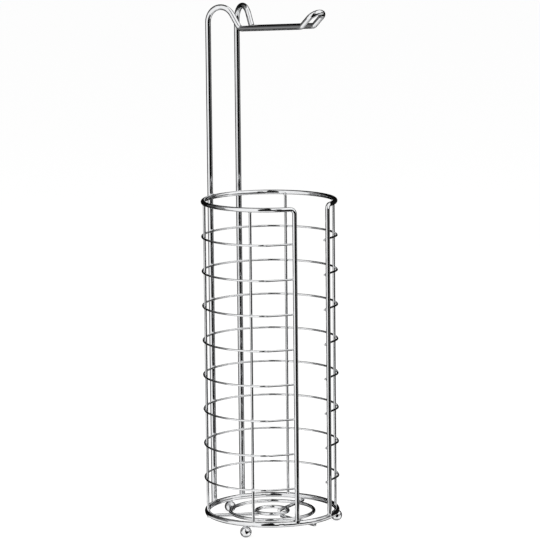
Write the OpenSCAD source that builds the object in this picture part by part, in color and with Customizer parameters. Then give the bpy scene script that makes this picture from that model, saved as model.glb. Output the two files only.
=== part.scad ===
// Free-standing toilet roll storage holder: a welded wire rack with no moving parts.
// Thin hoops on four uprights make a tall basket for the spare rolls, open at the front.
// One long rod is welded up the back of the basket, arches over at the top and runs forward
// as a pair of wires, the arm that carries the roll in use.
// Sizes are in millimetres. Z = 0 is the floor, the open front faces -Y, and the rack is
// symmetric about X = 0, but for its spokes and feet, which stand a few degrees unevenly.
// The origin is on the floor, under the middle of the bounding box, and the axis of the
// basket stands axis_y behind it.

/* [Basket] */
// Outer diameter over the rim, the hoops and the base ring
basket_d = 144; // [120:1:180]
// Height from the centre line of the base ring to the centre line of the rim
basket_h = 333; // [220:1:420]
// Distance between the centre lines of the two front posts
front_gap = 46; // [36:1:60]
// Bend radius at the centre line where the rim turns down into the posts
post_bend_r = 5; // [3:0.5:9]
// Angle from the X axis to each of the two thin uprights at the front
front_upright_angle = 32; // [26:1:38]
// Angle from the X axis to each of the two thin uprights at the back
back_upright_angle = 34; // [26:1:40]

/* [Wire diameters] */
// Stand rod: legs, arches and arm
rod_wire = 6; // [5:0.1:7]
// Base ring
base_wire = 5.6; // [4.6:0.1:6.6]
// Rim and front posts
rim_wire = 4.8; // [4:0.1:5.6]
// Middle ring, centre ring and spokes
floor_wire = 3.6; // [3:0.1:4.4]
// Thin uprights
upright_wire = 2.8; // [2.2:0.1:3.4]
// Hoops
hoop_wire = 2.1; // [1.8:0.1:2.8]
// Depth that two crossing wires sink into each other at their weld
weld_sink = 0.25; // [0.1:0.05:0.4]

/* [Hoop ends] */
// Angle past a front upright at which a hoop starts to turn inwards
hoop_turn_angle = 6; // [4:1:9]
// Length from there to the corner of the turn
hoop_turn_run = 8; // [7:0.5:11]
// Bend radius of the turn at the centre line
hoop_turn_r = 25; // [15:1:27]
// Length that a hoop runs on past its weld to the post
hoop_end = 2.5; // [2:0.5:8]

/* [Floor of the basket] */
// Centre line diameter of the middle ring
middle_ring_d = 89; // [70:1:100]
// Centre line diameter of the centre ring
centre_ring_d = 34; // [24:1:44]
// Length that a spoke runs on inside the centre line of the centre ring
spoke_overrun = 2; // [1:0.5:6]
// Distance that a spoke ends short of the outer face of the base ring
spoke_inset = 2.5; // [1:0.5:3.5]

/* [Feet] */
// Diameter of the ball feet
foot_d = 12; // [10:0.5:16]
// Depth of the flat under each ball, where it rests on the floor
foot_flat = 0.3; // [0.2:0.05:0.6]

/* [Stand rod] */
// Overall height, from the floor to the top of the arches
stand_h = 552; // [480:1:640]
// Distance between the centre lines of the two legs
leg_spacing = 40; // [32:1:52]
// Distance between the centre lines of the two wires of the arm
arm_spacing = 17; // [14:0.5:22]
// Bend radius of the arches at the centre line
arch_r = 16.5; // [14:0.5:18]
// Angle of the arches' front slope from the vertical
arch_slope = 33; // [30:1:42]
// Distance forward from the legs to the start of the arm
arch_depth = 38; // [35:1:46]
// Distance forward from the start of the arm to the foot of its tip
arm_len = 97; // [80:1:120]
// Rise of the arm over that distance
arm_rise = 7.5; // [0:0.5:12]
// Bend radius at both ends of the arm, at the centre line
arm_bend_r = 6; // [4:0.5:7]
// Distance that the upturned tip runs forward
tip_run = 18; // [16:0.5:24]
// Height that the upturned tip rises
tip_rise = 15; // [10:0.5:20]

/* [Hidden] */
$fn = 48;
HOOPS = 8;

// Straight lengths of a wire are drawn thinner than its bends by seam, and run into them by
// seam_depth, so that their surfaces cross and never only touch
seam = 0.01;
seam_depth = 0.05;

// Radii of the wires
rod_r = rod_wire / 2;
base_r = base_wire / 2;
rim_r = rim_wire / 2;
floor_r = floor_wire / 2;
upright_r = upright_wire / 2;
hoop_r = hoop_wire / 2;
foot_r = foot_d / 2;

// Distances of the centre lines from the axis of the basket. The outer faces of the rim, the
// hoops and the base ring are flush, so that the straight legs meet all of them.
basket_r = basket_d / 2;
rim_ring_r = basket_r - rim_r;
base_ring_r = basket_r - base_r;
hoop_ring_r = basket_r - hoop_r;
upright_ring_r = hoop_ring_r - hoop_r - upright_r + weld_sink;
leg_ring_r = basket_r + rod_r - weld_sink;

// Heights of the centre lines
foot_z = foot_r - foot_flat;
base_z = foot_z + foot_r + base_r - weld_sink;
rim_z = base_z + basket_h;
spoke_z = base_z - base_r - floor_r + weld_sink;
floor_ring_z = spoke_z + 2 * floor_r - weld_sink;
function hoop_z(number) = rim_z - basket_h * number / (HOOPS + 1);

// The legs, in plan, and the level of their ends
leg_x = leg_spacing / 2;
leg_y = sqrt(leg_ring_r ^ 2 - leg_x ^ 2);
leg_foot_z = base_z - base_r;

// The corners of the stand rod's centre line. An arch turns 180 degrees less its slope, so its
// corner stands arch_r / tan(arch_slope / 2) above the place where the leg starts to bend.
arm_x = arm_spacing / 2;
arm_y = leg_y - arch_depth;
arch_corner_z = stand_h - rod_r - arch_r + arch_r / tan(arch_slope / 2);
arm_z = arch_corner_z - norm([leg_x - arm_x, arch_depth]) / tan(arch_slope);
tip_foot_y = arm_y - arm_len;
tip_foot_z = arm_z + arm_rise;
tip_y = tip_foot_y - tip_run;
tip_slope = atan(tip_rise / tip_run);
tip_length = norm([tip_run, tip_rise]);

// The axis of the basket, so that the rack's front and back faces are equally far from Y = 0
axis_y = (-tip_y - leg_y) / 2;

// The front posts, in plan, and the angle from -Y at which the rim's arc ends. From there the
// rim runs straight on to the bend into the post.
rim_run = post_bend_r + rim_r / 4;
post_x = front_gap / 2;
post_ring_r = norm([rim_ring_r, rim_run]);
post_y = -sqrt(post_ring_r ^ 2 - post_x ^ 2);
rim_end_angle = asin(post_x / post_ring_r) + atan(rim_run / rim_ring_r);
post_foot_z = base_z + base_r / 2;

// The left end of a hoop, in plan: an arc to hoop_turn_angle past the front upright, a turn
// about a corner, and a straight end that lies against the inner side of the post
hoop_arc_angle = 180 + front_upright_angle + hoop_turn_angle;
hoop_tangent = [-sin(hoop_arc_angle), cos(hoop_arc_angle)];
hoop_arc_end = hoop_ring_r * [cos(hoop_arc_angle), sin(hoop_arc_angle)];
hoop_corner = hoop_arc_end + hoop_turn_run * hoop_tangent;
to_post = [-post_x, post_y] - hoop_corner;
post_offset = rim_r + hoop_r - weld_sink;
hoop_end_angle = atan2(to_post.y, to_post.x) + asin(post_offset / norm(to_post));
hoop_end_run = sqrt(norm(to_post) ^ 2 - post_offset ^ 2) + hoop_end;
hoop_tip = hoop_corner + hoop_end_run * [cos(hoop_end_angle), sin(hoop_end_angle)];

// Angles in plan of what repeats round the basket. The spokes and the feet are about a third
// of a turn apart, and each stands at the angle at which it is welded on.
UPRIGHT_ANGLES = [
    back_upright_angle, 180 - back_upright_angle,
    180 + front_upright_angle, -front_upright_angle
];
SPOKE_ANGLES = [-91, 20, 145];
FOOT_ANGLES = [90, 205, 325];

function unit(v) = v / norm(v);

// Turn of a centre line at corner b, on its way from a to c
function turn(a, b, c) = acos(unit(b - a) * unit(c - b));

// Length that a bend of radius r takes up on each side of corner b
function bend_run(a, b, c, r) = r * tan(turn(a, b, c) / 2);

// Moves what is drawn about the basket's own axis to its place behind the origin
module on_axis() {
    translate([0, axis_y, 0]) children();
}

// Both halves of what is symmetric about X = 0, given its left half
module both_sides() {
    children();
    mirror([1, 0, 0]) children();
}

// Straight length of a wire of radius r from a to b
module straight(a, b, r) {
    d = b - a;
    translate(a) rotate([0, acos(d.z / norm(d)), atan2(d.y, d.x)])
        cylinder(h = norm(d), r = r - seam);
}

// Bend of a wire of radius r at corner b: a piece of a torus whose first radius, first
// direction and axis are the columns of the matrix
module bend(a, b, c, bend_r, r) {
    along = unit(b - a);
    inwards = unit(unit(c - b) - (unit(c - b) * along) * along);
    centre = b - bend_run(a, b, c, bend_r) * along + bend_r * inwards;
    radius = -inwards;
    axis = cross(radius, along);
    multmatrix([
        [radius.x, along.x, axis.x, centre.x],
        [radius.y, along.y, axis.y, centre.y],
        [radius.z, along.z, axis.z, centre.z],
        [0, 0, 0, 1]
    ]) rotate_extrude(angle = turn(a, b, c)) translate([bend_r, 0]) circle(r);
}

// Wire of radius r through points, bent to radii at the points between the ends. Both ends run
// on by the lengths in overruns.
module bent_wire(points, radii, r, overruns) {
    last = len(points) - 1;
    runs = [
        -overruns[0],
        for (i = [1:last - 1])
            bend_run(points[i - 1], points[i], points[i + 1], radii[i - 1]) - seam_depth,
        -overruns[1]
    ];
    for (i = [0:last - 1]) {
        along = unit(points[i + 1] - points[i]);
        straight(points[i] + runs[i] * along, points[i + 1] - runs[i + 1] * along, r);
    }
    for (i = [1:last - 1]) bend(points[i - 1], points[i], points[i + 1], radii[i - 1], r);
}

// Closed ring about the basket's axis at height z
module ring(ring_r, r, z) {
    translate([0, 0, z]) rotate_extrude() translate([ring_r, 0]) circle(r);
}

// Part of a ring, from a front end on the right, round the back, to the same angle on the left
module open_ring(ring_r, r, z, end_angle) {
    translate([0, 0, z]) rotate([0, 0, end_angle - 90])
        rotate_extrude(angle = 360 - 2 * end_angle) translate([ring_r, 0]) circle(r);
}

module leg_shapes() {
    both_sides() translate([-leg_x, leg_y, leg_foot_z]) cylinder(h = rim_z, r = rod_r);
}

module post_shapes() {
    both_sides() translate([-post_x, post_y, post_foot_z])
        cylinder(h = rim_z - post_bend_r - post_foot_z, r = rim_r);
}

module upright_shape(angle) {
    rotate([0, 0, angle]) translate([upright_ring_r, 0, base_z])
        cylinder(h = basket_h, r = upright_r);
}

module base_ring_shape() {
    ring(base_ring_r, base_r, base_z);
}

module spoke_shape(angle) {
    inner = centre_ring_d / 2 - spoke_overrun;
    outer = basket_r - spoke_inset;
    rotate([0, 0, angle]) translate([inner, 0, spoke_z]) rotate([0, 90, 0])
        cylinder(h = outer - inner, r = floor_r);
}

// One rod from the foot of one leg, over its arch, along the arm, round the tip and back
module stand_rod() {
    tip_arc_start = [0, tip_foot_y, tip_foot_z]
        + (tip_length - arm_x) * [0, -cos(tip_slope), sin(tip_slope)];
    half = [
        [-leg_x, leg_y, leg_foot_z],
        [-leg_x, leg_y, arch_corner_z],
        [-arm_x, arm_y, arm_z],
        [-arm_x, tip_foot_y, tip_foot_z],
        tip_arc_start - [arm_x, 0, 0]
    ];
    color("silver") on_axis() {
        both_sides() bent_wire(half, [arch_r, arm_bend_r, arm_bend_r], rod_r, [0, seam_depth]);
        translate(tip_arc_start) rotate([180 - tip_slope, 0, 0])
            rotate_extrude(angle = 180) translate([arm_x, 0]) circle(rod_r);
    }
}

// The rim, whose ends turn down into the front posts and stand on the base ring
module top_ring() {
    arc_end = rim_ring_r * [-sin(rim_end_angle), -cos(rim_end_angle)];
    half = [
        [arc_end.x, arc_end.y, rim_z],
        [-post_x, post_y, rim_z],
        [-post_x, post_y, post_foot_z]
    ];
    color("silver") on_axis() difference() {
        union() {
            open_ring(rim_ring_r, rim_r, rim_z, rim_end_angle);
            both_sides() bent_wire(half, [post_bend_r], rim_r, [seam_depth, 0]);
        }
        leg_shapes();
        base_ring_shape();
    }
}

// Hoops are numbered from the top. They lie outside the uprights and inside the posts and legs,
// and are notched by the depth of their welds.
module hoop(number) {
    z = hoop_z(number);
    half = [for (p = [hoop_arc_end, hoop_corner, hoop_tip]) [p.x, p.y, z]];
    color("silver") on_axis() difference() {
        union() {
            open_ring(hoop_ring_r, hoop_r, z, 270 - hoop_arc_angle);
            both_sides() bent_wire(half, [hoop_turn_r], hoop_r, [seam_depth, 0]);
        }
        for (angle = UPRIGHT_ANGLES) upright_shape(angle);
        post_shapes();
        leg_shapes();
    }
}

// An upright stands on the base ring and ends under the rim
module upright(index) {
    color("silver") on_axis() difference() {
        upright_shape(UPRIGHT_ANGLES[index]);
        base_ring_shape();
        ring(rim_ring_r, rim_r, rim_z);
    }
}

module base_ring() {
    color("silver") on_axis() difference() {
        base_ring_shape();
        leg_shapes();
        for (angle = SPOKE_ANGLES) spoke_shape(angle);
    }
}

// A ring of the basket's floor, which lies on the spokes
module floor_ring(ring_d) {
    color("silver") on_axis() difference() {
        ring(ring_d / 2, floor_r, floor_ring_z);
        for (angle = SPOKE_ANGLES) spoke_shape(angle);
    }
}

module spoke(index) {
    color("silver") on_axis() spoke_shape(SPOKE_ANGLES[index]);
}

// A ball under the base ring, with a saddle on top and a small flat on the floor
module foot(index) {
    color("silver") on_axis() difference() {
        rotate([0, 0, FOOT_ANGLES[index]]) translate([base_ring_r, 0, foot_z]) sphere(r = foot_r);
        base_ring_shape();
        translate([-basket_d, -basket_d, -foot_d]) cube([2 * basket_d, 2 * basket_d, foot_d]);
    }
}

stand_rod();
top_ring();
hoop(1);  // hoop_1
hoop(2);  // hoop_2
hoop(3);  // hoop_3
hoop(4);  // hoop_4
hoop(5);  // hoop_5
hoop(6);  // hoop_6
hoop(7);  // hoop_7
hoop(8);  // hoop_8
upright(0);  // upright_back_right
upright(1);  // upright_back_left
upright(2);  // upright_front_left
upright(3);  // upright_front_right
base_ring();
floor_ring(middle_ring_d);  // middle_ring
floor_ring(centre_ring_d);  // centre_ring
spoke(0);  // spoke_front
spoke(1);  // spoke_back_right
spoke(2);  // spoke_back_left
foot(0);  // foot_back
foot(1);  // foot_front_left
foot(2);  // foot_front_right
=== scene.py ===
"""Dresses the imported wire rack: bright chrome on every wire, a bead of metal at every weld
and rounded ends on the cut wires, in a plain white studio with dark cards for the chrome."""

import math

import bpy
import numpy as np
from mathutils import Matrix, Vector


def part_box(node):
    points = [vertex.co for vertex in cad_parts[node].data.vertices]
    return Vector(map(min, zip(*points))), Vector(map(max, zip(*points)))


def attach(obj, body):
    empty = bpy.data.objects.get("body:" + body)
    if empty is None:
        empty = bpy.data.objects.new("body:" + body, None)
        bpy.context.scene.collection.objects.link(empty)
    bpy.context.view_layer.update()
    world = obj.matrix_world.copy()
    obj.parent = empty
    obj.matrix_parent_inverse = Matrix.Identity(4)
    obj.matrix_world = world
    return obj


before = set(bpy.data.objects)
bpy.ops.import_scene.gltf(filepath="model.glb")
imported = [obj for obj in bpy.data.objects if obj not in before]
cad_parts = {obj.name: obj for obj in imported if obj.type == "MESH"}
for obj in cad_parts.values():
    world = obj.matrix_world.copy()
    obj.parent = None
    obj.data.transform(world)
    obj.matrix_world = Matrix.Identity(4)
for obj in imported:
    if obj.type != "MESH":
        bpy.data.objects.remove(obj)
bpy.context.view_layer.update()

MM = 0.001
SCENE = bpy.context.scene

# ---------------------------------------------------------------- camera

# The photograph's view: turned about Z from -Y, above the horizon, and rolled
AZIMUTH = math.radians(-41.234)
ELEVATION = math.radians(9.215)
ROLL = math.radians(0.589)
DISTANCE = 3.3232
FOCAL_PIXELS = 3147.2
PICTURE_PIXELS = 540
SENSOR_WIDTH = 36.0
AIM_HEIGHT = 0.27353
AIM_SIDEWAYS = 0.000239
VIEW_RIGHT = np.array([math.cos(AZIMUTH), math.sin(AZIMUTH), 0.0])
VIEW_AWAY = np.array([-math.sin(AZIMUTH), math.cos(AZIMUTH), 0.0])
UP = np.array([0.0, 0.0, 1.0])


def place_by_axes(thing, x_axis, y_axis, z_axis, place):
    """Turns and moves a camera or a lamp so that its own axes are the three given."""
    matrix = np.eye(4)
    matrix[:3, 0], matrix[:3, 1], matrix[:3, 2], matrix[:3, 3] = x_axis, y_axis, z_axis, place
    thing.matrix_world = Matrix(matrix)


def make_camera(aim_y):
    """Camera that looks at the point AIM_HEIGHT up the basket's axis and AIM_SIDEWAYS to its
    right, from DISTANCE, with the photograph's turn, elevation and roll."""
    forward = VIEW_AWAY * math.cos(ELEVATION) - UP * math.sin(ELEVATION)
    above = np.cross(VIEW_RIGHT, forward)
    aim = np.array([0.0, aim_y, AIM_HEIGHT]) + AIM_SIDEWAYS * VIEW_RIGHT
    camera = bpy.data.cameras.new("photo_camera")
    camera.sensor_width = SENSOR_WIDTH
    camera.lens = FOCAL_PIXELS * SENSOR_WIDTH / PICTURE_PIXELS
    camera.clip_end = 50.0
    thing = bpy.data.objects.new("photo_camera", camera)
    SCENE.collection.objects.link(thing)
    place_by_axes(
        thing,
        VIEW_RIGHT * math.cos(ROLL) - above * math.sin(ROLL),
        VIEW_RIGHT * math.sin(ROLL) + above * math.cos(ROLL),
        -forward,
        aim - DISTANCE * forward,
    )
    SCENE.camera = thing


# ---------------------------------------------------------------- places, read off the frame


def middle(node):
    """Middle of a node's box, as an array."""
    low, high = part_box(node)
    return (np.array(low) + np.array(high)) / 2


def size(node):
    """Lengths of a node's box along X, Y and Z."""
    low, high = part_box(node)
    return np.array(high) - np.array(low)


# _WIRE is a wire's radius, _RING the radius of its centre line, _Z that line's height
BASE_WIRE = size("base_ring")[2] / 2
BASE_RING = size("base_ring")[0] / 2 - BASE_WIRE
BASE_Z = middle("base_ring")[2]
AXIS_Y = middle("base_ring")[1]
FLOOR_WIRE = size("middle_ring")[2] / 2
FLOOR_RINGS_Z = middle("middle_ring")[2]
MIDDLE_RING = size("middle_ring")[0] / 2 - FLOOR_WIRE
CENTRE_RING = size("centre_ring")[0] / 2 - FLOOR_WIRE
SPOKE_Z = middle("spoke_front")[2]
SPOKE_OUTER_END = -(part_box("spoke_front")[0].y - AXIS_Y)
SPOKE_INNER_END = -(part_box("spoke_front")[1].y - AXIS_Y)
HOOP_WIRE = size("hoop_1")[2] / 2
HOOP_RING = size("hoop_1")[0] / 2 - HOOP_WIRE
HOOPS = ["hoop_%d" % number for number in range(1, 9)]
UPRIGHTS = ["upright_back_right", "upright_back_left", "upright_front_left", "upright_front_right"]
UPRIGHT_WIRE = size("upright_back_left")[0] / 2
SPOKES = ["spoke_front", "spoke_back_right", "spoke_back_left"]
FEET = ["foot_back", "foot_front_left", "foot_front_right"]
FOOT_R = size("foot_back")[0] / 2

# Sizes that no box gives: the flat under a ball, the rim's and the rod's radius, the posts'
# places, and how deep two crossing wires sink into each other
FOOT_FLAT = 0.3 * MM
RIM_WIRE = 2.4 * MM
ROD_WIRE = 3.0 * MM
POST_X = 23.0 * MM
POST_Y = AXIS_Y - 65.928 * MM
WELD_SINK = 0.25 * MM
# A hoop's left end, from the basket's axis: the tip of its centre line, and the way it points
HOOP_TIP = np.array([-19.416, -64.020]) * MM
HOOP_END_WAY = np.array([0.9138, -0.4062])

FOOT_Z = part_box("foot_back")[0].z - FOOT_FLAT + FOOT_R
RIM_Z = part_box("top_ring")[1].z - RIM_WIRE
RIM_RING = size("top_ring")[0] / 2 - RIM_WIRE
LEG_X = size("stand_rod")[0] / 2 - ROD_WIRE
LEG_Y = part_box("stand_rod")[1].y - ROD_WIRE
LEG_END_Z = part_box("stand_rod")[0].z
SIDES = (-1, 1)

# ---------------------------------------------------------------- surfaces


def unit(vector):
    return vector / np.linalg.norm(vector)


def closed_sheet(rows):
    """Triangles and quads of a closed skin over a grid of rows x columns x 3 points: each
    column joins the next and the last joins the first, and the two end rows are shut by a
    fan about their mean point. Rows run so that the faces point outwards when the columns
    turn anticlockwise about the way from the first row to the last."""
    row_count, column_count, _ = rows.shape
    points = np.concatenate([rows.reshape(-1, 3), [rows[0].mean(0), rows[-1].mean(0)]])
    row, column = np.meshgrid(np.arange(row_count - 1), np.arange(column_count), indexing="ij")
    here = (row * column_count + column).ravel()
    beside = (row * column_count + (column + 1) % column_count).ravel()
    quads = np.stack([here, beside, beside + column_count, here + column_count], 1)
    ring = np.arange(column_count)
    after = (ring + 1) % column_count
    last = (row_count - 1) * column_count
    pole = row_count * column_count
    first_fan = np.stack([np.full(column_count, pole), after, ring], 1)
    last_fan = np.stack([np.full(column_count, pole + 1), last + ring, last + after], 1)
    return points, [list(face) for face in quads] + [
        list(face) for face in np.concatenate([first_fan, last_fan])
    ]


def make_piece(name, skins, material):
    """One smooth mesh object from several skins of points and faces, riding on the body."""
    points, faces, start = [], [], 0
    for skin_points, skin_faces in skins:
        points.append(skin_points)
        faces.extend([[corner + start for corner in face] for face in skin_faces])
        start += len(skin_points)
    mesh = bpy.data.meshes.new(name)
    mesh.from_pydata(np.concatenate(points), [], faces)
    mesh.polygons.foreach_set("use_smooth", np.ones(len(mesh.polygons), bool))
    mesh.materials.append(material)
    mesh.update()
    thing = bpy.data.objects.new(name, mesh)
    SCENE.collection.objects.link(thing)
    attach(thing, "root")


COLLAR_ROWS = 9
COLLAR_COLUMNS = 24
# Makes each bead's wave start elsewhere, from where the bead stands
PHASE_PER_MM = 977.0
# A wire's side is levelled off where it is this share of its radius above its middle
STEEPEST = 0.45
# Weld metal starts inside the wire, by this share of its radius
ROOT = 0.12
# How much a bead widens towards both wires, as a share of its narrowest radius
BEAD_FLARE = 0.35
# A fillet starts a little inside the wire that it hugs, at this share of its radius
HUG = 0.985
# Rows of a rounded end, how far inside the wire it starts, and its length by its radius
END_ROWS = 7
END_SINK = 0.2 * MM
END_SWELL = 0.30


def collar(place, across, along, normal, spread, lower, upper, wobble=0.06):
    """Weld metal between a lower and an upper surface, drawn out into a concave fillet.

    With t from 0 on the lower surface to 1 on the upper one, and the angle a round the
    normal, a point lies at the distance spread(t) from the normal, less or more by a small
    wave of two and three swells a turn, and at the height (1 - t) * lower + t * upper, where
    both surfaces are taken at that distance and angle. across, along and normal are a
    right-handed set of axes."""
    t = np.linspace(0, 1, COLLAR_ROWS)[:, None]
    turn = np.linspace(0, 2 * math.pi, COLLAR_COLUMNS, endpoint=False)[None, :]
    phase = PHASE_PER_MM * place.sum() / MM
    wave = 1 + wobble * (np.sin(2 * turn + phase) + 0.6 * np.sin(3 * turn - 2.3 * phase)) / 1.6
    distance = spread(t) * wave
    x, y = distance * np.cos(turn), distance * np.sin(turn)
    height = (1 - t) * lower(x, y) + t * upper(x, y)
    rows = place + x[..., None] * across + y[..., None] * along + height[..., None] * normal
    return closed_sheet(rows)


def waist(narrow, flare):
    """Distance that is narrow at mid-height and widens by flare, as a share, at both ends."""
    return lambda t: narrow * (1 + flare * (2 * t - 1) ** 2)


def wire_side(radius, part, sign):
    """Height of a wire's round side over the plane of its weld, for a wire along X (part 1)
    or along Y (part 0). It drops as a circle does with the distance from the wire's middle,
    and is levelled off where it turns steep. sign is -1 below the plane and 1 above it."""

    def side(x, y):
        off = (x, y)[part]
        drop = radius - np.sqrt(np.maximum(radius**2 - off**2, (STEEPEST * radius) ** 2))
        return sign * (drop - ROOT * radius - WELD_SINK / 2)

    return side


def crossing_weld(place, first_way, first_wire, second_way, second_wire, normal, narrow):
    """Bead where two wires cross: the first lies below the weld along first_way, the second
    above it along second_way, and normal points from the first to the second."""
    along = np.cross(normal, first_way)
    return collar(
        place,
        first_way,
        along,
        normal,
        waist(narrow, BEAD_FLARE),
        wire_side(first_wire, 1, -1),
        wire_side(second_wire, 0, 1),
    )


def end_weld(place, ring_way, wire, ring_wire, normal, reach, flare):
    """Fillet round the end of a wire that meets a ring square on. It starts reach down the
    wire, hugging it, and widens as t to the power 2.2 to the ring's round side, where it is
    flare beyond the wire.

    place is the point where the wire's centre line meets the ring's centre line, ring_way
    the ring's direction there, and normal points from the wire to the ring."""
    along = np.cross(normal, ring_way)

    def spread(t):
        return HUG * wire + flare * t**2.2

    def lower(x, y):
        return np.full_like(x, -ring_wire - reach)

    def upper(x, y):
        return -np.sqrt(np.maximum(ring_wire**2 - y**2, 0.0)) + ROOT * ring_wire

    return collar(place, ring_way, along, normal, spread, lower, upper, 0.03)


def cut_end(place, way, wire, swell=END_SWELL):
    """Rounded end of a cut wire: radius and length follow a quarter of the curve
    (x to the 3) + (y to the 3) = 1, so that the face is nearly flat and its edge is soft.
    A first ring of points lies inside the wire, and a last one closes the middle."""
    t = np.linspace(0, math.pi / 2, END_ROWS)[:, None]
    turn = np.linspace(0, 2 * math.pi, COLLAR_COLUMNS, endpoint=False)[None, :]
    radius = wire * np.cos(t) ** (2 / 3)
    length = swell * wire * np.sin(t) ** (2 / 3)
    radius = np.concatenate([[[wire * 0.98]], radius[:-1], [[wire * 0.02]]])
    length = np.concatenate([[[-END_SINK]], length])
    across = unit(np.cross(way, UP if abs(way[2]) < 0.9 else np.array([1.0, 0, 0])))
    along = np.cross(way, across)
    rows = (
        place
        + (radius * np.cos(turn))[..., None] * across
        + (radius * np.sin(turn))[..., None] * along
        + (length * np.ones_like(turn))[..., None] * way
    )
    return closed_sheet(rows)


# ---------------------------------------------------------------- chrome


def add_node(tree, kind, x, y, **values):
    node = tree.nodes.new(kind)
    node.location = (x, y)
    for key, value in values.items():
        setattr(node, key, value)
    return node


# Sizes of the plating's pattern, as noise scales per metre, and the grain's share of its bump
GRAIN_SCALE = 2600.0
PATCH_SCALE = 140.0
GRAIN_SHARE = 0.02


def make_plating_group():
    """Bright plating on drawn wire: long shallow waves that make its reflections waver, a
    faint grain, and patches of haze that dull it a little and grey its colour."""
    group = bpy.data.node_groups.new("bright_plating", "ShaderNodeTree")
    face = group.interface
    face.new_socket("Coordinates", in_out="INPUT", socket_type="NodeSocketVector")
    bright = face.new_socket("Bright", in_out="INPUT", socket_type="NodeSocketColor")
    bright.default_value = (0.9, 0.9, 0.92, 1)
    hazed = face.new_socket("Hazed", in_out="INPUT", socket_type="NodeSocketColor")
    hazed.default_value = (0.75, 0.76, 0.78, 1)
    for name, start in (("Polish", 0.04), ("Haze", 0.05), ("Wave Scale", 60.0)):
        face.new_socket(name, in_out="INPUT", socket_type="NodeSocketFloat").default_value = start
    face.new_socket("Color", in_out="OUTPUT", socket_type="NodeSocketColor")
    face.new_socket("Roughness", in_out="OUTPUT", socket_type="NodeSocketFloat")
    face.new_socket("Height", in_out="OUTPUT", socket_type="NodeSocketFloat")
    into = add_node(group, "NodeGroupInput", -900, 0)
    out = add_node(group, "NodeGroupOutput", 500, 0)
    links = group.links

    waves = add_node(group, "ShaderNodeTexNoise", -600, 200)
    waves.inputs["Detail"].default_value = 1.0
    grain = add_node(group, "ShaderNodeTexNoise", -600, -100)
    grain.inputs["Scale"].default_value = GRAIN_SCALE
    grain.inputs["Detail"].default_value = 2.0
    patches = add_node(group, "ShaderNodeTexNoise", -600, -400)
    patches.inputs["Scale"].default_value = PATCH_SCALE
    patches.inputs["Detail"].default_value = 4.0
    for texture in (waves, grain, patches):
        links.new(into.outputs["Coordinates"], texture.inputs["Vector"])
    links.new(into.outputs["Wave Scale"], waves.inputs["Scale"])

    haze_mask = add_node(group, "ShaderNodeMapRange", -300, -400)
    haze_mask.inputs["From Min"].default_value = 0.45
    haze_mask.inputs["From Max"].default_value = 0.75
    links.new(patches.outputs["Fac"], haze_mask.inputs["Value"])
    colour = add_node(group, "ShaderNodeMix", 0, 200, data_type="RGBA")
    links.new(haze_mask.outputs["Result"], colour.inputs["Factor"])
    links.new(into.outputs["Bright"], colour.inputs["A"])
    links.new(into.outputs["Hazed"], colour.inputs["B"])
    dulling = add_node(group, "ShaderNodeMath", 0, -100, operation="MULTIPLY_ADD")
    links.new(haze_mask.outputs["Result"], dulling.inputs[0])
    links.new(into.outputs["Haze"], dulling.inputs[1])
    links.new(into.outputs["Polish"], dulling.inputs[2])
    height = add_node(group, "ShaderNodeMath", 0, -350, operation="MULTIPLY_ADD")
    height.inputs[1].default_value = GRAIN_SHARE
    links.new(grain.outputs["Fac"], height.inputs[0])
    links.new(waves.outputs["Fac"], height.inputs[2])
    links.new(colour.outputs["Result"], out.inputs["Color"])
    links.new(dulling.outputs["Value"], out.inputs["Roughness"])
    links.new(height.outputs["Value"], out.inputs["Height"])
    return group


PLATING = make_plating_group()


def chrome(name, bright, hazed, polish, haze, wave_scale, wave_depth):
    """Chrome plate: the plating group feeds colour, roughness and a bump of wave_depth.
    polish is its roughness where it is clean, and haze what the dull patches add."""
    material = bpy.data.materials.new(name)
    material.use_nodes = True
    tree = material.node_tree
    tree.nodes.clear()
    place = add_node(tree, "ShaderNodeTexCoord", -900, 0)
    plating = add_node(tree, "ShaderNodeGroup", -600, 0, node_tree=PLATING)
    plating.inputs["Bright"].default_value = (*bright, 1)
    plating.inputs["Hazed"].default_value = (*hazed, 1)
    plating.inputs["Polish"].default_value = polish
    plating.inputs["Haze"].default_value = haze
    plating.inputs["Wave Scale"].default_value = wave_scale
    bump = add_node(tree, "ShaderNodeBump", -300, -300)
    bump.inputs["Strength"].default_value = 1.0
    bump.inputs["Distance"].default_value = wave_depth
    shader = add_node(tree, "ShaderNodeBsdfPrincipled", 0, 0)
    shader.inputs["Metallic"].default_value = 1.0
    out = add_node(tree, "ShaderNodeOutputMaterial", 300, 0)
    link = tree.links.new
    link(place.outputs["Object"], plating.inputs["Coordinates"])
    link(plating.outputs["Color"], shader.inputs["Base Color"])
    link(plating.outputs["Roughness"], shader.inputs["Roughness"])
    link(plating.outputs["Height"], bump.inputs["Height"])
    link(bump.outputs["Normal"], shader.inputs["Normal"])
    link(shader.outputs["BSDF"], out.inputs["Surface"])
    return material


BRIGHT = (0.90, 0.905, 0.915)
HAZED = (0.80, 0.81, 0.825)
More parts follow.
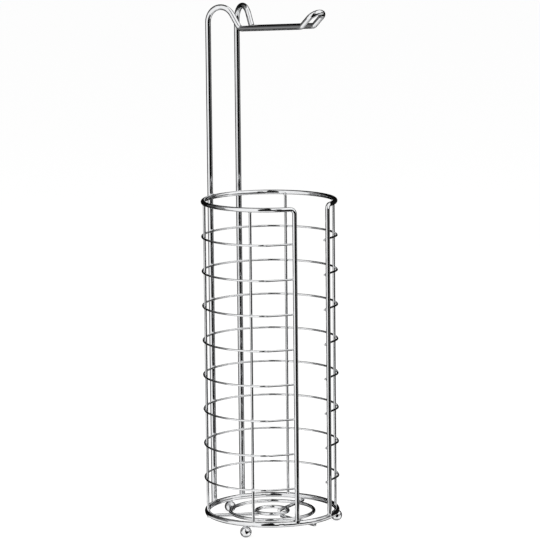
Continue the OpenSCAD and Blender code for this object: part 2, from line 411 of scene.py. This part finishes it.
# name, clean colour, colour in the haze, polish, haze, wave scale, wave depth in metres
rod_chrome = chrome("rod_chrome", BRIGHT, HAZED, 0.035, 0.03, 55.0, 0.00006)
rim_chrome = chrome("rim_chrome", BRIGHT, HAZED, 0.035, 0.04, 70.0, 0.00005)
base_chrome = chrome("base_chrome", BRIGHT, HAZED, 0.04, 0.05, 60.0, 0.00006)
thin_wire_chrome = chrome("thin_wire_chrome", BRIGHT, HAZED, 0.05, 0.05, 90.0, 0.00003)
floor_wire_chrome = chrome("floor_wire_chrome", BRIGHT, HAZED, 0.045, 0.05, 80.0, 0.00004)
ball_chrome = chrome("ball_chrome", BRIGHT, HAZED, 0.025, 0.02, 60.0, 0.00003)
weld_chrome = chrome("weld_chrome", BRIGHT, (0.66, 0.67, 0.68), 0.10, 0.12, 900.0, 0.00006)
cut_end_chrome = chrome("cut_end_chrome", BRIGHT, (0.70, 0.71, 0.72), 0.09, 0.10, 700.0, 0.00004)

FINISHES = {
    "stand_rod": rod_chrome,
    "top_ring": rim_chrome,
    "base_ring": base_chrome,
}
FINISHES.update({name: floor_wire_chrome for name in ["middle_ring", "centre_ring"] + SPOKES})
FINISHES.update({name: thin_wire_chrome for name in HOOPS + UPRIGHTS})
FINISHES.update({name: ball_chrome for name in FEET})
for name, material in FINISHES.items():
    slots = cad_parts[name].data.materials
    slots.clear()
    slots.append(material)

# ---------------------------------------------------------------- welds and wire ends

# Narrowest radius of the bead where each pair of wires crosses
UPRIGHT_BEAD = 1.30 * MM
LEG_BEAD = 1.35 * MM
POST_BEAD = 1.35 * MM
LEG_RING_BEAD = 2.2 * MM
FLOOR_BEAD = 1.7 * MM
FOOT_NECK = 2.0 * MM
# How much a foot's neck widens, and how far it starts inside the ball and the ring
NECK_FLARE = 0.25
NECK_ROOT = 0.12 * MM
# How far the fillet at a wire's end reaches down it, and how far it spreads on the ring
UPRIGHT_FILLET = (1.6 * MM, 0.9 * MM)
POST_FILLET = (1.4 * MM, 0.8 * MM)
# How far the leg's cut end swells, as a share of its wire
LEG_END_SWELL = 0.15


def outwards(angle):
    return np.array([math.cos(angle), math.sin(angle), 0.0])


def round_way(angle):
    return np.array([-math.sin(angle), math.cos(angle), 0.0])


def on_ring(radius, angle, z):
    return np.array([0.0, AXIS_Y, z]) + radius * outwards(angle)


def angle_of(place):
    return math.atan2(place[1] - AXIS_Y, place[0])


UPRIGHT_ANGLES = [angle_of(middle(name)) for name in UPRIGHTS]
FOOT_ANGLES = [angle_of(middle(name)) for name in FEET]
SPOKE_ANGLES = [angle_of(middle(name)) for name in SPOKES]
LEG_ANGLES = [angle_of((side * LEG_X, LEG_Y)) for side in SIDES]
HOOP_HEIGHTS = [middle(name)[2] for name in HOOPS]


def mirrored(flat_vector, side):
    """The left side's level vector, or its image on the right, with its height of 0."""
    return np.array([-side * flat_vector[0], flat_vector[1], 0.0])


def hoop_end_way(side):
    """Way in which a hoop's end points, on the left (-1) or the right (1)."""
    return mirrored(HOOP_END_WAY, side)


def hoop_end_to_post(side):
    """Way from a hoop's end to the post that it is welded to: square to hoop_end_way."""
    return mirrored((HOOP_END_WAY[1], -HOOP_END_WAY[0]), side)


def hoop_welds():
    """A bead at each crossing of a hoop with an upright, a leg and a post."""
    skins = []
    for z in HOOP_HEIGHTS:
        for angle in UPRIGHT_ANGLES:
            place = on_ring(HOOP_RING - HOOP_WIRE + WELD_SINK / 2, angle, z)
            way, out = round_way(angle), outwards(angle)
            skins.append(
                crossing_weld(place, UP, UPRIGHT_WIRE, way, HOOP_WIRE, out, UPRIGHT_BEAD)
            )
        for angle in LEG_ANGLES:
            place = on_ring(HOOP_RING + HOOP_WIRE - WELD_SINK / 2, angle, z)
            way, out = round_way(angle), outwards(angle)
            skins.append(crossing_weld(place, way, HOOP_WIRE, UP, ROD_WIRE, out, LEG_BEAD))
        for side in SIDES:
            way = hoop_end_way(side)
            to_post = hoop_end_to_post(side)
            post = np.array([side * POST_X, POST_Y, z])
            place = post - to_post * (RIM_WIRE - WELD_SINK / 2)
            skins.append(crossing_weld(place, way, HOOP_WIRE, UP, RIM_WIRE, to_post, POST_BEAD))
    return skins


def frame_welds():
    """Fillets at the ends of the uprights and posts, and beads where the legs pass."""
    skins = []
    upright_ring = np.hypot(*(middle(UPRIGHTS[0])[:2] - np.array([0.0, AXIS_Y])))
    for angle in UPRIGHT_ANGLES:
        top = on_ring(upright_ring, angle, RIM_Z)
        foot = on_ring(upright_ring, angle, BASE_Z)
        way = round_way(angle)
        skins.append(end_weld(top, way, UPRIGHT_WIRE, RIM_WIRE, UP, *UPRIGHT_FILLET))
        skins.append(end_weld(foot, -way, UPRIGHT_WIRE, BASE_WIRE, -UP, *UPRIGHT_FILLET))
    for side in SIDES:
        foot = np.array([side * POST_X, POST_Y, BASE_Z])
        way = round_way(angle_of(foot))
        skins.append(end_weld(foot, -way, RIM_WIRE, BASE_WIRE, -UP, *POST_FILLET))
    for angle in LEG_ANGLES:
        way, out = round_way(angle), outwards(angle)
        for ring, wire, z in ((RIM_RING, RIM_WIRE, RIM_Z), (BASE_RING, BASE_WIRE, BASE_Z)):
            place = on_ring(ring + wire - WELD_SINK / 2, angle, z)
            skins.append(crossing_weld(place, way, wire, UP, ROD_WIRE, out, LEG_RING_BEAD))
    return skins


def floor_welds():
    """Beads between the spokes and the three rings that lie on them."""
    skins = []
    for angle in SPOKE_ANGLES:
        way, out = round_way(angle), outwards(angle)
        for ring, wire, z in (
            (CENTRE_RING, FLOOR_WIRE, FLOOR_RINGS_Z),
            (MIDDLE_RING, FLOOR_WIRE, FLOOR_RINGS_Z),
            (BASE_RING, BASE_WIRE, BASE_Z),
        ):
            place = on_ring(ring, angle, z - wire + WELD_SINK / 2)
            skins.append(crossing_weld(place, out, FLOOR_WIRE, way, wire, UP, FLOOR_BEAD))
    return skins


def foot_welds():
    """A neck of weld metal between each ball and the base ring above it. Below it follows
    the ball's round top, and above the ring's round side, NECK_ROOT inside each."""
    joint_z = BASE_Z - BASE_WIRE

    def ball(x, y):
        top = np.sqrt(np.maximum(FOOT_R**2 - x**2 - y**2, 0.0))
        return FOOT_Z - joint_z + top - NECK_ROOT

    def ring(x, y):
        return BASE_WIRE - np.sqrt(np.maximum(BASE_WIRE**2 - x**2, 0.0)) + NECK_ROOT

    neck = waist(FOOT_NECK, NECK_FLARE)
    return [
        collar(
            on_ring(BASE_RING, angle, joint_z),
            outwards(angle),
            round_way(angle),
            UP,
            neck,
            ball,
            ring,
        )
        for angle in FOOT_ANGLES
    ]


def wire_ends():
    """The rounded ends of the hoops, of the legs and of the spokes."""
    skins = []
    for z in HOOP_HEIGHTS:
        for side in SIDES:
            tip = mirrored(HOOP_TIP, side) + np.array([0.0, AXIS_Y, z])
            skins.append(cut_end(tip, hoop_end_way(side), HOOP_WIRE))
    for side in SIDES:
        tip = np.array([side * LEG_X, LEG_Y, LEG_END_Z])
        skins.append(cut_end(tip, -UP, ROD_WIRE, LEG_END_SWELL))
    for angle in SPOKE_ANGLES:
        for radius, way in (
            (SPOKE_OUTER_END, outwards(angle)),
            (SPOKE_INNER_END, -outwards(angle)),
        ):
            skins.append(cut_end(on_ring(radius, angle, SPOKE_Z), way, FLOOR_WIRE))
    return skins


make_camera(AXIS_Y)
make_piece("welds_of_hoops", hoop_welds(), weld_chrome)
make_piece("welds_of_frame", frame_welds(), weld_chrome)
make_piece("welds_of_floor", floor_welds(), weld_chrome)
make_piece("welds_of_feet", foot_welds(), weld_chrome)
make_piece("cut_wire_ends", wire_ends(), cut_end_chrome)

# ---------------------------------------------------------------- studio

ROOM_LIGHT = 0.55
PAPER_SHADE = 0.30
# What brings the lit paper up to white for the lens, and leaves its shadow
PAPER_LIFT = 0.815
FLOOR_RADIUS = 12.0
FLOOR_CORNERS = 64


def card_material(name, shade):
    """Plain shade of a card that only reflections see, from 0, black, to 1, white."""
    material = bpy.data.materials.new(name)
    material.use_nodes = True
    tree = material.node_tree
    tree.nodes.clear()
    glow = add_node(tree, "ShaderNodeEmission", 0, 0)
    glow.inputs["Color"].default_value = (1, 1, 1, 1)
    glow.inputs["Strength"].default_value = shade
    out = add_node(tree, "ShaderNodeOutputMaterial", 300, 0)
    tree.links.new(glow.outputs["Emission"], out.inputs["Surface"])
    return material


def seen_by_lens_or_gloss(tree, x, y):
    """1 for rays of the camera, of reflections and of refractions, and otherwise 0."""
    path = add_node(tree, "ShaderNodeLightPath", x, y)
    first = add_node(tree, "ShaderNodeMath", x + 200, y, operation="MAXIMUM")
    second = add_node(tree, "ShaderNodeMath", x + 400, y, operation="MAXIMUM")
    tree.links.new(path.outputs["Is Camera Ray"], first.inputs[0])
    tree.links.new(path.outputs["Is Glossy Ray"], first.inputs[1])
    tree.links.new(first.outputs["Value"], second.inputs[0])
    tree.links.new(path.outputs["Is Transmission Ray"], second.inputs[1])
    return second.outputs["Value"]


def make_world():
    """White where the lens or a reflection sees it, and a soft grey-white light elsewhere."""
    world = bpy.data.worlds.new("white_studio")
    world.use_nodes = True
    tree = world.node_tree
    tree.nodes.clear()
    soft = add_node(tree, "ShaderNodeBackground", 0, 150)
    soft.inputs["Color"].default_value = (1, 1, 1, 1)
    soft.inputs["Strength"].default_value = ROOM_LIGHT
    white = add_node(tree, "ShaderNodeBackground", 0, 0)
    white.inputs["Color"].default_value = (1, 1, 1, 1)
    white.inputs["Strength"].default_value = 1.0
    mix = add_node(tree, "ShaderNodeMixShader", 250, 50)
    out = add_node(tree, "ShaderNodeOutputWorld", 500, 50)
    tree.links.new(seen_by_lens_or_gloss(tree, -700, 300), mix.inputs["Fac"])
    tree.links.new(soft.outputs["Background"], mix.inputs[1])
    tree.links.new(white.outputs["Background"], mix.inputs[2])
    tree.links.new(mix.outputs["Shader"], out.inputs["Surface"])
    SCENE.world = world


def floor_material():
    """White paper: a matt grey that catches the soft shadow, lifted to white for the lens."""
    material = bpy.data.materials.new("white_paper")
    material.use_nodes = True
    tree = material.node_tree
    tree.nodes.clear()
    matt = add_node(tree, "ShaderNodeBsdfDiffuse", 0, 150)
    matt.inputs["Color"].default_value = (PAPER_SHADE, PAPER_SHADE, PAPER_SHADE, 1)
    glow = add_node(tree, "ShaderNodeEmission", 0, 0)
    glow.inputs["Color"].default_value = (1, 1, 1, 1)
    lift = add_node(tree, "ShaderNodeMath", -250, 0, operation="MULTIPLY")
    lift.inputs[1].default_value = PAPER_LIFT
    both = add_node(tree, "ShaderNodeAddShader", 250, 80)
    out = add_node(tree, "ShaderNodeOutputMaterial", 500, 80)
    tree.links.new(seen_by_lens_or_gloss(tree, -1000, 0), lift.inputs[0])
    tree.links.new(lift.outputs["Value"], glow.inputs["Strength"])
    tree.links.new(matt.outputs["BSDF"], both.inputs[0])
    tree.links.new(glow.outputs["Emission"], both.inputs[1])
    tree.links.new(both.outputs["Shader"], out.inputs["Surface"])
    return material


def stage_mesh(name, points, faces, material):
    mesh = bpy.data.meshes.new(name)
    mesh.from_pydata(points, [], faces)
    mesh.materials.append(material)
    thing = bpy.data.objects.new(name, mesh)
    SCENE.collection.objects.link(thing)
    return thing


def make_floor():
    """A disc of white paper under the rack, which the cards stand in for in reflections."""
    turn = np.linspace(0, 2 * math.pi, FLOOR_CORNERS, endpoint=False)
    points = FLOOR_RADIUS * np.stack([np.cos(turn), np.sin(turn), 0 * turn], 1)
    floor = stage_mesh("floor", points, [list(range(FLOOR_CORNERS))], floor_material())
    floor.visible_glossy = False


CARD_DISTANCE = 6.0
CARD_STEPS = 12
# Height of the cards that lie on the floor, and how near the screens' dark floor comes
CARD_Z = 0.001
SCREEN_FLOOR = 0.32


def seen_by_reflections_only(thing):
    thing.visible_camera = False
    thing.visible_diffuse = False
    thing.visible_shadow = False
    thing.visible_transmission = False


def swept_card(name, start, end, profile, shade):
    """A profile of (distance, height) points swept about the basket's axis from start to
    end, in degrees to the right of the lens: a card that only reflections see."""
    turn = np.radians(np.linspace(start, end, CARD_STEPS + 1))
    profile = np.array(profile, float)
    way = np.cos(turn)[:, None] * -VIEW_AWAY + np.sin(turn)[:, None] * VIEW_RIGHT
    points = way[:, None, :] * profile[None, :, 0, None] + UP * profile[None, :, 1, None]
    points = points.reshape(-1, 3) + np.array([0, AXIS_Y, 0])
    rows = len(profile)
    faces = [
        [i * rows + j, i * rows + j + 1, (i + 1) * rows + j + 1, (i + 1) * rows + j]
        for i in range(CARD_STEPS)
        for j in range(rows - 1)
    ]
    seen_by_reflections_only(stage_mesh(name, points, faces, card_material(name, shade)))


def round_card(name, start, end, low, high, shade):
    """Card on a sphere round the rack, from the elevation low to high, in degrees."""
    rise = np.radians(np.linspace(low, high, CARD_STEPS + 1))
    level = CARD_DISTANCE * np.cos(rise)
    height = AIM_HEIGHT + CARD_DISTANCE * np.sin(rise)
    swept_card(name, start, end, np.stack([level, height], 1), shade)


def screen(name, start, end, distance, top, shade):
    """Low card that stands at a distance, with the floor before it in the same shade."""
    profile = [(SCREEN_FLOOR, CARD_Z), (distance, CARD_Z), (distance, top)]
    swept_card(name, start, end, profile, shade)


def floor_card(name, start, end, near, far, shade):
    """Card on the floor close round the rack, where its low wires mirror it."""
    swept_card(name, start, end, [(near, CARD_Z), (far, CARD_Z)], shade)


# The room: name, start and end to the right of the lens, lowest and highest elevation, shade
CARDS = [
    ("card_below", -100, 100, -90, -55, 0.82),
    ("card_below_behind", 100, 260, -90, -55, 0.25),
    ("card_left", -80, -19, -55, 80, 0.97),
    ("card_left_back", -102, -80, -55, 35, 0.22),
    ("card_left_back_far", -128, -102, -38, -3, 0.02),
    ("card_left_back_rise", -128, -102, -3, 40, 0.07),
    ("card_left_back_low", -128, -102, -55, -38, 0.16),
    ("card_left_back_high", -128, -80, 40, 90, 0.20),
    ("card_back_left", 200, 232, -50, 60, 0.004),
    ("card_back_left_high", 200, 232, 60, 90, 0.03),
    ("card_behind", 160, 200, -50, 90, 0.004),
    ("card_lens", -19, 12, -42, 20, 0.004),
    ("card_lens_high", -19, 4, 20, 86, 0.004),
    ("card_ramp", 12, 22, 2, 42, 0.20),
    ("card_front_right", 12, 62, -18, 1, 0.004),
    ("card_right", 80, 118, -24, 20, 0.17),
    ("card_back_right", 118, 160, -50, 32, 0.008),
    ("card_back_right_high", 118, 160, 32, 48, 0.22),
]
# A low black screen in front on the right: name, start, end, distance, top, shade
SCREENS = [
    ("screen_near", 12, 32, 1.05, 0.47, 0.004),
    ("screen_middle", 32, 50, 1.2, 0.46, 0.004),
    ("screen_far", 50, 62, 1.6, 0.46, 0.01),
    ("screen_end", 62, 80, 2.4, 0.44, 0.10),
]
# The floor round the rack: name, start, end, nearest and furthest from its axis, shade
FLOOR_CARDS = [
    ("card_floor_near", 12, 62, 0.09, SCREEN_FLOOR, 0.012),
    ("card_paper_left", -95, -15, 0.078, 0.17, 0.88),
    ("card_paper_right", 62, 95, 0.078, 0.15, 0.82),
]

# Under each ball its soft shade on the floor
SPOT_CORNERS = 24
SHADE_RADIUS = 5.5 * MM
SHADE_Z = 0.5 * MM
SHADE_GREY = 0.25
# Before each ball, upright, a small dark card that only reflections see: a painted dark reflection
# in the ball
DARK_RADIUS = 3.3 * MM
DARK_DISTANCE = 11 * MM
DARK_RISE = 2.9 * MM
DARK_TURN = math.radians(12)
PAINTED_REFLECTION_GREY = 0.004


def small_spot(name, place, across, along, radius, shade):
    """Small round card in the plane of across and along, which only reflections see."""
    turn = np.linspace(0, 2 * math.pi, SPOT_CORNERS, endpoint=False)[:, None]
    points = place + radius * (np.cos(turn) * across + np.sin(turn) * along)
    card = stage_mesh(name, points, [list(range(SPOT_CORNERS))], card_material(name, shade))
    seen_by_reflections_only(card)


def make_cards():
    """All that the chrome mirrors besides the white room."""
    for row in CARDS:
        round_card(*row)
    for row in SCREENS:
        screen(*row)
    for row in FLOOR_CARDS:
        floor_card(*row)
    way = math.cos(DARK_TURN) * -VIEW_AWAY + math.sin(DARK_TURN) * VIEW_RIGHT
    for name, angle in zip(FEET, FOOT_ANGLES):
        on_floor = on_ring(BASE_RING, angle, SHADE_Z)
        small_spot("shade_of_" + name, on_floor, VIEW_RIGHT, VIEW_AWAY, SHADE_RADIUS, SHADE_GREY)
        # A painted dark reflection: a near-black disc before the ball, which only the ball's
        # reflections see
        before = on_floor + DARK_DISTANCE * way + DARK_RISE * UP
        small_spot("painted_reflection_before_" + name, before, np.cross(UP, way), UP, DARK_RADIUS, PAINTED_REFLECTION_GREY)


def area_lamp(name, azimuth, elevation, distance, width, height, watts):
    """Soft lamp at two angles in degrees, to the right of the lens and above the floor,
    which faces the rack and has its distance and size in metres."""
    turn, rise = math.radians(azimuth), math.radians(elevation)
    level = math.cos(turn) * -VIEW_AWAY + math.sin(turn) * VIEW_RIGHT
    way = level * math.cos(rise) + UP * math.sin(rise)
    lamp = bpy.data.lights.new(name, "AREA")
    lamp.shape = "RECTANGLE"
    lamp.size = width
    lamp.size_y = height
    lamp.energy = watts
    thing = bpy.data.objects.new(name, lamp)
    SCENE.collection.objects.link(thing)
    across = unit(np.cross(UP, way))
    aim = np.array([0.0, AXIS_Y, AIM_HEIGHT])
    place_by_axes(thing, across, np.cross(way, across), way, aim + distance * way)
    thing.visible_glossy = False


make_world()
make_floor()
make_cards()
# name, turn, rise, distance, width, height, watts
area_lamp("softbox_left", -40, 25, 1.8, 0.9, 1.4, 14)
area_lamp("softbox_right", 55, 40, 2.2, 0.8, 0.8, 8)
area_lamp("softbox_above", 10, 80, 2.0, 1.2, 1.2, 12)

SCENE.view_settings.view_transform = "Standard"
